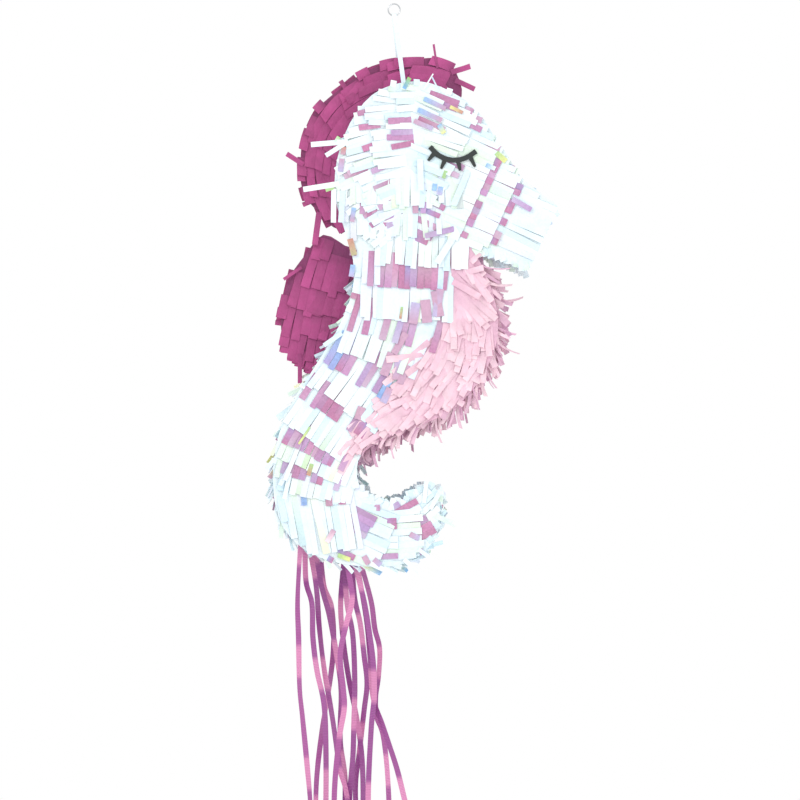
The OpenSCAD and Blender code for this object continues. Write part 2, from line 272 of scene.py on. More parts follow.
def gloss_material(name, colour, roughness, metallic=0.0):
    """A smooth material with slight grain: sticker vinyl, tape or wire."""
    n = Nodes(name)
    grain = 600
    shade = n.ramp(n.noise(grain, 3), [(0.3, tuple(c * 0.8 for c in colour)), (0.7, colour)])
    n.colour(shade)
    n.rough(grain * 2, roughness, roughness + 0.12)
    n.set(Metallic=metallic, Coat_Weight=0.0 if metallic else 0.3)
    n.bump(n.noise(grain, 3), 0.0002, 0.3)
    return n.material


# ---- colours of the strips (linear)

MAUVE = (0.50, 0.20, 0.36)
LAVENDER = (0.42, 0.34, 0.62)
BLUE = (0.17, 0.42, 0.78)
GREEN = (0.30, 0.56, 0.12)
YELLOW = (0.80, 0.78, 0.16)
ORANGE = (0.52, 0.11, 0.05)
WHITE = (0.75, 0.86, 0.91)
WHITES = [WHITE, (0.80, 0.88, 0.91), (0.66, 0.82, 0.89), (0.72, 0.86, 0.76), (0.74, 0.80, 0.91)]
PINK = (0.86, 0.57, 0.67)
PALE_PINK = (0.92, 0.68, 0.75)
# A darker pink: the belly's edge strips, and painted shade at the roots of the pink strips and under them
DUSKY = (0.58, 0.28, 0.46)
MAGENTA = (0.44, 0.056, 0.222)
# Magenta in painted shade, for the roots of the magenta strips and the layer under them
SHADED_MAGENTA = (0.22, 0.026, 0.120)


def mix(a, b, t):
    return tuple(p + (q - p) * t for p, q in zip(a, b))


def vary(colour, amount):
    k = 1 + rng.uniform(-amount, amount)
    return tuple(min(1.0, c * k) for c in colour)


def ramp_of(rings, root, tip):
    return [mix(root, tip, i / (rings - 1)) for i in range(rings)]


def white_strip(rings):
    base = rng.choices(WHITES, (6, 4, 2, 1.4, 1))[0]
    if rng.random() < 0.06:
        return ramp_of(rings, base, mix(base, rng.choice((BLUE, GREEN, LAVENDER, YELLOW)), 0.35))
    return [base] * rings


def mauve_strip(rings):
    kind = rng.random()
    if kind < 0.10:
        return white_strip(rings)
    if kind < 0.22:
        return ramp_of(rings, mix(BLUE, LAVENDER, rng.random()), MAUVE)
    base = vary(mix(MAUVE, LAVENDER, rng.random() ** 2 * 0.8), 0.12)
    pale = mix(base, WHITE, rng.uniform(0, 0.35))
    return ramp_of(rings, base, pale) if rng.random() < 0.5 else ramp_of(rings, pale, base)


def blue_strip(rings):
    if rng.random() < 0.5:
        return mauve_strip(rings)
    return ramp_of(rings, mix(BLUE, WHITE, rng.uniform(0, 0.4)), mix(LAVENDER, BLUE, rng.random()))


def glint_strip(rings):
    # Painted glints: two of the film's coloured reflections, as seen where an edge is at a glancing angle
    first, second = rng.sample((GREEN, YELLOW, ORANGE, BLUE, MAUVE, LAVENDER), 2)
    pale = rng.uniform(0, 0.4)
    return [mix(mix(first, second, i / (rings - 1)), WHITE, pale) for i in range(rings)]


def pink_strip(rings):
    base = vary(mix(PALE_PINK, PINK, rng.random()), 0.03)
    # Painted shade: each strip is a darker pink at its root, where the row above shades it
    return ramp_of(rings, mix(base, DUSKY, 0.4), base)


def dusky_strip(rings):
    base = vary(mix(DUSKY, PALE_PINK, rng.uniform(0.1, 0.9)), 0.08)
    return [base] * rings


def magenta_strip(rings):
    """Darker where the row above shades it."""
    base = vary(MAGENTA, 0.13)
    root = mix(base, SHADED_MAGENTA, rng.uniform(0.3, 0.8))
    return [mix(root, base, min(1.0, 1.5 * i / (rings - 1))) for i in range(rings)]


def two_tone(first, second):
    """A short strip that goes from one colour to another, paled with white; on the glints it is painted
    reflection.
    """
    return lambda rings: [mix(c, WHITE, 0.22) for c in ramp_of(rings, first, second)]


# ---- meshes of flaps


# How far off the cardboard the flat layer under the strips starts and ends, and its height on an edge wall
BASE_LOW = 0.1 * MM
BASE_HIGH = 0.4 * MM
WALL_BASE = 0.3 * MM


class Sheets:
    """Gathers thin closed sheets into one mesh, with a colour at each point."""

    THICK = 0.25 * MM

    def __init__(self):
        self.points, self.faces, self.colours, self.marks = [], [], [], []

    def strip(self, centres, acrosses, normals, colours, cup=0.0, marks=None):
        """A strip through the centres, as wide as twice each across vector, and cupped along its middle."""
        first = len(self.points)
        around = 6
        for i, (c, a, n) in enumerate(zip(centres, acrosses, normals)):
            lift = n * (self.THICK / 2)
            middle = c + n * cup
            self.points += [c - a - lift, middle - lift, c + a - lift,
                            c + a + lift, middle + lift, c - a + lift]
            self.colours += [colours[i]] * around
            self.marks += [marks[i] if marks else 0.0] * around
        end = first + around * (len(centres) - 1)
        self.faces += [(first, first + 1, first + 4, first + 5), (first + 1, first + 2, first + 3, first + 4),
                       (end + 5, end + 4, end + 1, end), (end + 4, end + 3, end + 2, end + 1)]
        for low in range(first, end, around):
            for k in range(around):
                m = (k + 1) % around
                self.faces.append((low + k, low + around + k, low + around + m, low + m))

    def slab(self, loops, y0, y1, colour):
        """A flat sheet of a region's shape between two depths, glued to the cardboard."""
        rings = [[Vector((x, 0, z)) for x, z in loop] for loop in loops]
        triangles = tessellate_polygon(rings)
        flat = [p for ring in rings for p in ring]
        first, count = len(self.points), len(flat)
        self.points += [Vector((p.x, y, p.z)) for y in (y0, y1) for p in flat]
        self.colours += [colour] * (2 * count)
        self.marks += [0.0] * (2 * count)
        for a, b, c in triangles:
            self.faces.append((first + a, first + b, first + c))
            self.faces.append((first + count + c, first + count + b, first + count + a))
        start = first
        for ring in rings:
            n = len(ring)
            for k in range(n):
                m = (k + 1) % n
                self.faces.append((start + k, start + count + k, start + count + m, start + m))
            start += n

    def base(self, loops, side, half, colour):
        """The flat layer under the strips on one side of the board that is twice half thick."""
        self.slab(loops, side * (half + BASE_LOW), side * (half + BASE_HIGH), colour)

    def finish(self, name, material, body, nodes, slot, soft=False):
        mesh = bpy.data.meshes.new(name)
        mesh.from_pydata([tuple(p) for p in self.points], [], self.faces)
        tint = mesh.color_attributes.new("tint", "FLOAT_COLOR", "POINT")
        tint.data.foreach_set("color", np.array([(*c, 1.0) for c in self.colours], np.float32).ravel())
        mark = mesh.attributes.new("mark", "FLOAT", "POINT")
        mark.data.foreach_set("value", np.array(self.marks, np.float32))
        mesh.materials.append(material)
        mesh.validate()
        if soft:
            mesh.shade_smooth()
            mesh.set_sharp_from_angle(angle=math.radians(50))
        piece = bpy.data.objects.new(name, mesh)
        bpy.context.scene.collection.objects.link(piece)
        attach(piece, body)
        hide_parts(*nodes)
        return piece


# ---- outlines from the CAD nodes


def flat_outline(name, y):
    """The border of a CAD node's flat face at that y, as closed loops of (x, z)."""
    mesh = frame["nodes"][name].data
    spot = [(round(v.co.x, 6), round(v.co.z, 6)) for v in mesh.vertices]
    level = [abs(v.co.y - y) < 2e-5 for v in mesh.vertices]
    edges = set()
    for face in mesh.polygons:
        corners = list(face.vertices)
        if all(level[v] for v in corners):
            for a, b in zip(corners, corners[1:] + corners[:1]):
                if (spot[b], spot[a]) in edges:
                    edges.discard((spot[b], spot[a]))
                elif spot[a] != spot[b]:
                    edges.add((spot[a], spot[b]))
    after = dict(sorted(edges))
    loops = []
    while after:
        point = next(iter(after))
        loop = []
        while point in after:
            loop.append(point)
            point = after.pop(point)
        if len(loop) > 2:
            loops.append(np.array(loop))
    return sorted(loops, key=lambda l: -abs(signed_area(l)))


def signed_area(loop):
    x, z = loop[:, 0], loop[:, 1]
    return 0.5 * float(np.sum(x * np.roll(z, -1) - np.roll(x, -1) * z))


class Area:
    """A flat region with straight edges, and perhaps holes."""

    def __init__(self, loops):
        self.a = np.concatenate(loops)
        self.b = np.concatenate([np.roll(l, -1, axis=0) for l in loops])

    def holds(self, p):
        ax, az, bx, bz = self.a[:, 0], self.a[:, 1], self.b[:, 0], self.b[:, 1]
        crosses = (az > p.y) != (bz > p.y)
        at = ax[crosses] + (p.y - az[crosses]) * (bx - ax)[crosses] / (bz - az)[crosses]
        return bool(np.count_nonzero(at > p.x) % 2)


def along_line(points, step):
    """Points and directions at even steps along a smooth line through a few points."""
    keys = [Vector(p) for p in points]
    fine = []
    for i in range(len(keys) - 1):
        a, b = keys[max(0, i - 1)], keys[i]
        c, d = keys[i + 1], keys[min(len(keys) - 1, i + 2)]
        for j in range(24):
            t = j / 24
            fine.append(0.5 * (2 * b + (c - a) * t + (2 * a - 5 * b + 4 * c - d) * t * t
                               + (3 * b - a - 3 * c + d) * t * t * t))
    fine.append(keys[-1])
    out, run, target = [], 0.0, 0.0
    for p, q in zip(fine, fine[1:]):
        length = (q - p).length
        while length > 0 and target <= run + length:
            out.append((p.lerp(q, (target - run) / length), (q - p).normalized()))
            target += step
        run += length
    return out


def turned(direction, angle):
    c, s = math.cos(angle), math.sin(angle)
    return Vector((direction.x * c - direction.y * s, direction.x * s + direction.y * c))


# ---- fringe on the faces


class Style:
    """How the strips of a row are cut and how they lie. Angles are in radians."""

    def __init__(self, width=6.4 * MM, jitter=0.02, fan=0.0, ragged=0.06, lift=2.2 * MM, base=0.5 * MM,
                 roll=0.08, cup=0.0, rings=5, stray=0.04, overhang=8 * MM, even=0.4,
                 proud=0.0, flow=False):
        self.width, self.jitter, self.fan, self.ragged = width, jitter, fan, ragged
        self.lift, self.base, self.roll, self.cup = lift, base, roll, cup
        self.rings, self.stray, self.overhang, self.even = rings, stray, overhang, even
        self.proud, self.flow = proud, flow


class Box:
    """An upright rectangle on a face: low and high corners (x, z)."""

    def __init__(self, low, high):
        self.low, self.high = Vector(low), Vector(high)

    def holds(self, p):
        return self.low.x < p.x < self.high.x and self.low.y < p.y < self.high.y

    def loop(self):
        (x0, z0), (x1, z1) = self.low, self.high
        return np.array([(x0, z0), (x1, z0), (x1, z1), (x0, z1)])


class Face:
    """One flat side that fringe is glued to: its depth, the area that carries it, and the box that
    strips keep out of."""

    def __init__(self, side, y, area, keep_out=None):
        self.side, self.y, self.area, self.keep_out = side, y, area, keep_out

    def reach(self, root, direction, length, overhang):
        """The length that a strip may have before it hangs too far over an edge."""
        step = 1 * MM
        over = at = 0.0
        while at < length:
            at += step
            if self.keep_out and self.keep_out.holds(root + direction * at):
                return at - step
            if not self.area.holds(root + direction * at):
                over += step
                if over > overhang:
                    return at
        return length

    def flap(self, sheets, root, direction, length, colour, style, curl=0.0, width=None, turn=0.0):
        """One strip from its glued root, rising as it lies over the strips below it, and turning in the
        plane of the face by so many radians from root to tip."""
        side = Vector((-direction.y, direction.x))
        rings = style.rings
        half_width = (width or style.width) / 2
        bend, roll = rng.gauss(0, 0.012) * length, rng.gauss(0, style.roll)
        lift = style.lift * rng.uniform(0.9, 1.15)
        centres, acrosses, normals = [], [], []
        for i in range(rings):
            t = i / (rings - 1)
            p = root + direction * (length * t) + side * (bend * t * t)
            p = p + side * (turn * length * t * t / 2)
            depth = self.y + style.base + lift * t + curl * t * t * t
            centres.append(Vector((p.x, self.side * depth, p.y)))
            c, s = math.cos(roll * t), math.sin(roll * t)
            acrosses.append(Vector((side.x * c, self.side * s, side.y * c)) * half_width)
            normals.append(Vector((-side.x * s * self.side, self.side * c, -side.y * s * self.side)))
        sheets.strip(centres, acrosses, normals, colour, cup=style.cup * half_width)

    def row(self, sheets_at, centre, direction, span, length, colour, style, missing=0.0, turn=0.0):
        """Strips side by side on a line across the direction that they hang in. They may turn as they
        go, by so many radians a metre."""
        across = Vector((-direction.y, direction.x))
        u = -span[0]
        while u < span[1]:
            w = style.width * rng.uniform(0.85, 1.1)
            root = centre + across * (u + w / 2)
            u += w + 0.05 * MM
            inward = across * math.copysign(style.proud, u)
            sheets = sheets_at(root - inward)
            if sheets is None or rng.random() < missing:
                continue
            d = turned(direction, style.fan * u + rng.gauss(0, style.jitter))
            long = length * (1 + rng.uniform(-style.ragged, style.ragged * 0.5))
            long = self.reach(root, d, long, style.overhang * rng.uniform(style.even, 1.0))
            if long < SHORTEST:
                continue
            stray = rng.random() < style.stray
            curl = rng.uniform(1, 3) * MM if stray else 0.0
            self.flap(sheets, root, d, long, colour(style.rings), style, curl=curl, width=w + 0.15 * MM,
                      turn=turn * long)

    def bands(self, guide, bands, sheets_at, span, style):
        """Rows of strips down a guide line. A band is the stretch of the line where its strips show
        (from, to, in mm), their colour, and the share of them that is missing."""
        step = 1 * MM
        tuck = 14 * MM
        line = along_line(guide, step)
        for start, end, colour, missing in reversed(bands):
            at = start * MM - tuck
            centre, way = line[max(0, min(len(line) - 1, int(at / step)))]
            if at < 0:
                centre = centre + way * at
            length = end * MM - at
            turn = 0.0
            if style.flow:
                ahead = line[min(len(line) - 1, int((at + length) / step))][1]
                turn = (way.x * ahead.y - way.y * ahead.x) / length
            self.row(sheets_at, centre, way, span(start * MM), length, colour, style, missing, turn)


BODY_GUIDE = [(0.010, -0.232), (0.008, -0.262), (0.004, -0.300), (-0.014, -0.345), (-0.046, -0.392),
              (-0.072, -0.436), (-0.083, -0.478), (-0.070, -0.512), (-0.036, -0.533), (0.000, -0.533),
              (0.024, -0.518), (0.038, -0.490)]
BODY_BANDS = [
    (0, 32, white_strip, 0), (32, 53, mauve_strip, 0.15), (53, 86, white_strip, 0),
    (84, 108, mauve_strip, 0.45), (100, 136, white_strip, 0), (134, 160, blue_strip, 0.3),
    (156, 190, white_strip, 0.04), (188, 204, mauve_strip, 0.5), (202, 233, white_strip, 0),
    (231, 246, mauve_strip, 0.5), (242, 261, white_strip, 0.04), (259, 270, mauve_strip, 0.5),
    (268, 285, white_strip, 0), (283, 294, blue_strip, 0.45), (292, 346, white_strip, 0),
    (344, 354, mauve_strip, 0.6), (352, 378, white_strip, 0), (376, 386, mauve_strip, 0.5),
    (384, 412, white_strip, 0), (410, 422, mauve_strip, 0.5), (420, 446, white_strip, 0)]
TAIL_STARTS = 255 * MM
HEAD_MIDDLE = Vector((0.014, -0.150))
SNOUT_WAY = Vector((0.91, -0.415)).normalized()
FRONT_GUIDE = [tuple(HEAD_MIDDLE - SNOUT_WAY * 0.055), tuple(HEAD_MIDDLE + SNOUT_WAY * 0.165)]
FRONT_BANDS = [
    (14, 30, white_strip, 0), (28, 44, mauve_strip, 0.55), (42, 66, white_strip, 0),
    (64, 80, mauve_strip, 0.5), (78, 104, white_strip, 0), (102, 112, mauve_strip, 0.55),
    (110, 137, white_strip, 0), (136, 144, mauve_strip, 0.3), (142, 167, white_strip, 0),
    (166, 174, mauve_strip, 0.4), (172, 214, white_strip, 0)]
BACK_GUIDE = [(0.022, -0.138), (-0.004, -0.142), (-0.032, -0.152), (-0.060, -0.168)]
BACK_BANDS = [
    (2, 18, white_strip, 0), (16, 27, mauve_strip, 0.6), (26, 46, white_strip, 0),
    (44, 54, mauve_strip, 0.72), (54, 72, white_strip, 0), (70, 80, mauve_strip, 0.7),
    (78, 96, white_strip, 0)]
CROWN_GUIDE = [(0.013, -0.084), (0.012, -0.110), (0.010, -0.142)]
CROWN_BANDS = [(6, 54, white_strip, 0)]
CHIN_GUIDE = [(0.004, -0.180), (0.004, -0.232), (0.004, -0.250)]
CHIN_BANDS = [(0, 24, white_strip, 0), (22, 34, mauve_strip, 0.75), (30, 56, white_strip, 0)]
BELLY_GUIDE = [(0.064, -0.240), (0.082, -0.268), (0.088, -0.300), (0.080, -0.340), (0.054, -0.378),
               (0.018, -0.402), (-0.022, -0.428), (-0.034, -0.456)]
CREST_GUIDE = [(0.076, -0.096), (0.058, -0.070), (0.026, -0.066), (-0.010, -0.070), (-0.040, -0.085),
               (-0.064, -0.106), (-0.078, -0.134), (-0.082, -0.164), (-0.076, -0.192), (-0.058, -0.224)]
FIN_GUIDE = [(-0.060, -0.214), (-0.074, -0.262), (-0.084, -0.300), (-0.092, -0.336), (-0.098, -0.372)]

FILM_ROWS = Style()
SNOUT_ROWS = Style(width=6.8 * MM, jitter=0.01, ragged=0.01, overhang=6 * MM, even=0.9, stray=0.01)
HEAD_ROWS = Style(width=5.8 * MM, jitter=0.05, ragged=0.12, overhang=6 * MM)
BACK_ROWS = Style(width=5.8 * MM, jitter=0.07, fan=3.4, ragged=0.15, overhang=7 * MM)
TISSUE_ROWS = Style(width=9.5 * MM, jitter=0.04, ragged=0.14, lift=2.4 * MM, roll=0.07, cup=0.10, rings=9,
                    overhang=5 * MM, proud=4 * MM, flow=True)
FLAP_SETBACK = 8 * MM
# Where the head's fringe gives way to the body's, to the snout's and to the chin's
NECK_Z = -0.216
CHIN_Z = -0.236
PARTING_X = 0.006
BACK_X = 0.030
SNOUT_STARTS = 105
SHORTEST = 5 * MM


def clothe_side(side, parts):
    """All the fringe on one flat side of the body."""
    word = "near" if side < 0 else "far"
    y = side * abs(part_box("near_head_fringe")[0].y)
    nodes = {"head": f"{word}_head_fringe", "snout": "snout_fringe", "body": f"{word}_body_fringe",
             "belly": f"{word}_belly_fringe", "tail": "tail_fringe"}
    loops = {k: flat_outline(n, y) for k, n in nodes.items()}
    areas = {k: Area(v) for k, v in loops.items()}
    for name, region in loops.items():
        # On the belly the layer under the strips is a darker pink: painted shade in the gaps between them
        colour = mix(PINK, DUSKY, 0.4) if name == "belly" else WHITE
        parts[name].base(region, side, HALF, colour)
    keep_out = None
    if side > 0:
        low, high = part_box("filler_flap")
        hole = Box((low.x - 0.5 * MM, low.z - 0.5 * MM), (high.x + 0.5 * MM, high.z + 0.5 * MM))
        keep_out = Box(hole.low - Vector((1, 1)) * MM, hole.high + Vector((1, 9)) * MM)
        rim = Box(hole.low - Vector((1, 1)) * FLAP_SETBACK, hole.high + Vector((1, 1)) * FLAP_SETBACK)
        parts["body"].base([rim.loop(), hole.loop()[::-1]], side, HALF, WHITE)
        clothe_flap(parts["flap"], low, high)
    face = Face(side, HALF, Area(flat_outline(f"{word}_side_panel", side * HALF)[:1]), keep_out)

    def on(*names, where=lambda p: True):
        def find(p):
            if keep_out and keep_out.holds(p):
                return None
            for name in names:
                if areas[name].holds(p) or (name == "body" and keep_out and rim.holds(p)):
                    return parts[name] if where(p) else None
            return None
        return find

    face.bands(BODY_GUIDE, BODY_BANDS, on("body", "tail", "head", where=lambda p: p.y < NECK_Z),
               lambda s: (0.085, 0.085 if s < TAIL_STARTS - 40 * MM else 0.055), FILM_ROWS)
    clothe_belly(face, on("belly"))
    face.bands(CHIN_GUIDE, CHIN_BANDS, on("head"), lambda s: (0.060, 0.060), HEAD_ROWS)
    face.bands(BACK_GUIDE, BACK_BANDS, on("head", where=lambda p: p.y > CHIN_Z and p.x < BACK_X),
               lambda s: (0.090, 0.078), BACK_ROWS)
    front = on("head", "snout", where=lambda p: p.y > CHIN_Z and p.x > PARTING_X)
    face.bands(FRONT_GUIDE, [b for b in FRONT_BANDS if b[0] > SNOUT_STARTS], front, lambda s: (0.060, 0.075),
               SNOUT_ROWS)
    face.bands(FRONT_GUIDE, [b for b in FRONT_BANDS if b[0] <= SNOUT_STARTS], front, lambda s: (0.090, 0.075),
               HEAD_ROWS)
    face.bands(CROWN_GUIDE, CROWN_BANDS, on("head"), lambda s: (0.016, 0.012), HEAD_ROWS)


def clothe_flap(sheets, low, high):
    """The filler flap's own fringe, which stays clear of its hinge line along the top."""
    panel = Box((low.x, low.z), (high.x, high.z - 2 * MM))
    sheets.base([panel.loop()], 1, HALF, WHITE)
    face = Face(1, HALF, panel)
    roots = Box((low.x + 2 * MM, low.z), (high.x - 2 * MM, high.z - FLAP_SETBACK))
    style = Style(overhang=3 * MM, jitter=0.01)
    face.bands([(panel.low.x + 0.032, high.z - FLAP_SETBACK), (panel.low.x + 0.032, low.z)],
               [(14, 30, white_strip, 0), (28, 44, mauve_strip, 0.4), (40, 66, white_strip, 0)],
               lambda p: sheets if roots.holds(p) else None, lambda s: (0.032, 0.032), style)


def clothe_belly(face, sheets_at):
    """Tissue strips in every direction, in three layers."""
    line = along_line(BELLY_GUIDE, 1 * MM)
    for layer, (pitch, jitter, missing) in enumerate(((17, 0.07, 0.0), (23, 0.16, 0.5), (31, 0.6, 0.86))):
        for k in range(len(line) - 1, -1, -pitch):
            centre, way = line[k]
            style = Style(width=6.6 * MM, jitter=jitter, ragged=0.3, lift=(1.8 + 0.8 * layer) * MM,
                          base=(0.5 + 0.3 * layer) * MM, roll=0.10, cup=0.03, stray=0.08, overhang=6 * MM)
            face.row(sheets_at, centre, turned(way, rng.uniform(-0.15, 0.35)), (0.075, 0.055),
                     rng.uniform(34, 44) * MM, pink_strip, style, missing)


# ---- fringe on the edge walls


class Edge:
    """The edge wall round the body: a closed line of (x, z) that strips run along."""

    def __init__(self, loop):
        if signed_area(loop) < 0:
            loop = loop[::-1]
        self.points = loop
        steps = np.hypot(*(np.roll(loop, -1, axis=0) - loop).T)
        self.starts = np.concatenate([[0.0], np.cumsum(steps)])
        self.length = float(self.starts[-1])

    def place(self, s):
        s %= self.length
        i = min(int(np.searchsorted(self.starts, s, side="right")) - 1, len(self.points) - 1)
        a, b = self.points[i], self.points[(i + 1) % len(self.points)]
        return a + (b - a) * ((s - self.starts[i]) / max(1e-9, self.starts[i + 1] - self.starts[i]))

    def at(self, s):
        """The point at a distance round the line, its direction and its outward normal."""
        d = self.place(s + 2 * MM) - self.place(s - 2 * MM)
        d = d / float(np.hypot(*d))
        return self.place(s), d, np.array((d[1], -d[0]))

    def nearest(self, x, z):
        step = 2 * MM
        gaps = [float(np.hypot(*(self.place(k * step) - (x, z)))) for k in range(int(self.length / step))]
        return gaps.index(min(gaps)) * step

    def flap(self, sheets, s, y, way, length, width, colour, lift, yaw=0.0, curl=0.0, twist=0.0):
        """A strip that starts at s and follows the wall one way, rising off it and perhaps twisting."""
        rings = len(colour)
        spread = way * math.cos(yaw) * math.sqrt(max(0.1, 1 - (lift / length) ** 2))
        limit = HALF + 2.5 * MM
        centres, normals = [], []
        for i in range(rings):
            t = i / (rings - 1)
            p, d, n = self.at(s + spread * length * t)
            q = p + n * (0.8 * MM + lift * t ** 1.4 + curl * t ** 3)
            depth = y + length * t * math.sin(yaw)
            centres.append(Vector((q[0], max(-limit, min(limit, depth)), q[1])))
            normals.append(Vector((n[0], 0, n[1])))
        acrosses = []
        for i in range(rings):
            run = (centres[min(rings - 1, i + 1)] - centres[max(0, i - 1)]).normalized()
            across = Vector((0, 1, 0))
            across = (across - run * across.dot(run)).normalized()
            turn = twist * min(1.0, 1.6 * i / (rings - 1))
            across = across * math.cos(turn) + run.cross(across) * math.sin(turn)
            acrosses.append(across * (width / 2))
            face = across.cross(run).normalized()
            normals[i] = face if twist or face.dot(normals[i]) > 0 else -face
        sheets.strip(centres, acrosses, normals, colour)


    def base(self, sheets, places, low, high, colour):
        """A flat length of the layer under the strips, across the wall between two depths."""
        centres, acrosses, normals = [], [], []
        for s in places:
            q, _, n = self.at(s)
            q = q + n * WALL_BASE
            centres.append(Vector((q[0], (low + high) / 2, q[1])))
            acrosses.append(Vector((0, (high - low) / 2, 0)))
            normals.append(Vector((n[0], 0, n[1])))
        sheets.strip(centres, acrosses, normals, [colour] * len(places))


class Door:
    """The trap door in the tail's edge wall: x at its free end and at its hinge, and half its width."""

    def __init__(self):
        low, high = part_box("trap_door")
        joint = next(j for j in frame["joints"] if j["name"] == "trap_door_hinge")
        self.free, self.hinge, self.half = low.x, joint["pos_m"][0], high.y

    def cut(self, x, end_x, off_middle, length):
        """The length that a strip from x towards end_x may have, and whether the door carries it."""
        if self.free < x < self.hinge:
            clear = off_middle <= self.half - 3 * MM
            return (min(length, self.hinge - x - 7 * MM) if clear else 0.0), True
        if end_x > self.free - 3 * MM and x < self.free:
            return abs(x - self.free) - 2 * MM, False
        if self.hinge <= x < self.hinge + 3 * MM:
            return 0.0, False
        return length, False


TAIL_BASE_Z = -0.53
EDGE_NODES = {"crown": "crown_edge_fringe", "snout": "snout_fringe", "back": "back_edge_fringe",
              "belly": "belly_edge_fringe", "tail": "tail_fringe"}


def edge_strip(name, row):
    """Colour, lift, yaw, curl, twist and length of one strip on the stretch of edge wall with that name."""
    colour = white_strip if row % 3 else mauve_strip
    if rng.random() < 0.07:
        colour = glint_strip
    length, curl = rng.uniform(22, 30) * MM, 0.0
    lift, yaw, twist = rng.uniform(1.0, 2.5) * MM, rng.gauss(0, 0.06), 0.0
    if name == "belly":
        colour = dusky_strip if rng.random() < 0.8 else pink_strip
        lift = (rng.uniform(8, 19) if rng.random() < 0.45 else rng.uniform(2, 7)) * MM
        yaw, curl, length = rng.gauss(0, 0.3), rng.uniform(0, 3) * MM, rng.uniform(17, 28) * MM
        twist = rng.uniform(-1.5, 1.5)
    elif name == "snout":
        colour = white_strip
        lift, twist = rng.uniform(1.5, 3) * MM, rng.gauss(0, 0.3)
    elif name in ("tail", "back"):
        if rng.random() < 0.75:
            colour = white_strip
        stray = rng.random() < 0.14
        lift = (rng.uniform(5, 12) if stray else rng.uniform(1.5, 5)) * MM
        curl = rng.uniform(0, 2) * MM
        twist = rng.uniform(-1.5, 1.5) if stray else rng.gauss(0, 0.3)
    return colour, lift, yaw, curl, twist, length


def clothe_edge(parts):
    """The fringe on the edge walls, all round the outline."""
    edge = Edge(flat_outline("near_side_panel", -HALF)[0])
    spots = {k: np.array([(v.co.x, v.co.z) for v in frame["nodes"][n].data.vertices])
             for k, n in EDGE_NODES.items()}

    def owner(p):
        return min(spots, key=lambda k: float(np.min(np.hypot(*(spots[k] - p).T))))

    crown_s = edge.nearest(0.012, -0.085)
    tip_s = edge.nearest(0.044, -0.500)
    chin_s = edge.nearest(0.082, -0.250)
    end_s = edge.nearest(0.150, -0.240)
    door = Door()
    clothe_edge_bases(edge, owner, parts, door)

    def way_at(s):
        """Strips point away from the crown and the chin, towards the ends of the snout and the tail."""
        around = (s - crown_s) % edge.length
        if around < (tip_s - crown_s) % edge.length:
            return 1
        if around < (chin_s - crown_s) % edge.length:
            return -1
        return 1 if around < (end_s - crown_s) % edge.length else -1

    pitch = 11 * MM
    rows = int(edge.length / pitch)
    for row in range(rows):
        s = row * edge.length / rows
        p, _, _ = edge.at(s)
        name, way = owner(p), way_at(s)
        y = -HALF + 1 * MM
        while y < HALF - 3 * MM:
            width = 6.2 * MM * rng.uniform(0.85, 1.12)
            middle = y + width / 2
            y += width + 0.1 * MM
            colour, lift, yaw, curl, twist, length = edge_strip(name, row)
            sheets = parts[name]
            if abs(middle) < door.half + 4 * MM and p[1] < TAIL_BASE_Z:
                end = edge.place(s + way * length)
                length, on_door = door.cut(p[0], end[0], abs(middle), length)
                if length < SHORTEST:
                    continue
                if on_door:
                    sheets, lift, curl, twist = parts["door"], 1.5 * MM, 0.0, 0.0
            edge.flap(sheets, s, middle, way, length, width, colour(5), lift, yaw, curl, twist)
    clothe_rims(edge, owner, way_at, parts)


# The loose strips at the rims: their shortest and longest in mm, and the chance of one at each step
RIM_LENGTHS = {"belly": (18, 32), "tail": (12, 22), "back": (10, 18), "snout": (8, 13), "crown": (4, 6)}
RIM_CHANCES = {"belly": 0.9, "tail": 0.5, "back": 0.35, "snout": 0.5, "crown": 0.1}


def clothe_rims(edge, owner, way_at, parts):
    """Loose strips at both rims of the edge walls, which stand out past the faces."""
    for side in (-1, 1):
        s = 0.0
        while s < edge.length:
            s += rng.uniform(3.0, 5.5) * MM
            p, d, n = edge.at(s)
            name = owner(p)
            # a lip of film hides the underside of the snout and the inside of the tail's hook
            lip = (name == "snout" and n[1] < -0.6) or (name == "tail" and n[1] > 0.3)
            if not lip and rng.random() > RIM_CHANCES[name]:
                continue
            way = Vector(d) * way_at(s)
            lean = rng.uniform(0.15, 0.95) if name in ("belly", "tail") else rng.uniform(0.1, 0.45)
            if lip:
                lean = rng.uniform(0.8, 1.3)
            direction = (way * math.cos(lean) + Vector(n) * math.sin(lean)).normalized()
            colour = white_strip
            if name == "belly":
                colour = dusky_strip if rng.random() < 0.85 else pink_strip
            elif not lip and rng.random() < 0.15:
                colour = rng.choice((mauve_strip, glint_strip))
            style = Style(lift=rng.uniform(-6, 2) * MM, base=rng.uniform(-9, 0.5) * MM, rings=7, roll=0.5,
                          cup=0.1)
            bow = rng.uniform(-34, 34) if name == "belly" else rng.uniform(-12, 12)
            width = rng.uniform(1.6, 4.6) if name == "belly" else rng.uniform(3.0, 5.6)
            root = Vector(p) - Vector(n) * rng.uniform(-1.0, 0.0) * MM
            if lip:
                style, bow, width = Style(lift=1 * MM, base=0.5 * MM, rings=7, roll=0.1), 0.0, 6.2
            length = rng.uniform(9, 13) * MM if lip else rng.uniform(*RIM_LENGTHS[name]) * MM
            Face(side, HALF, None).flap(parts[name], root, direction, length, colour(7), style,
                                        curl=rng.uniform(-2, 2) * MM, width=width * MM, turn=bow * length)


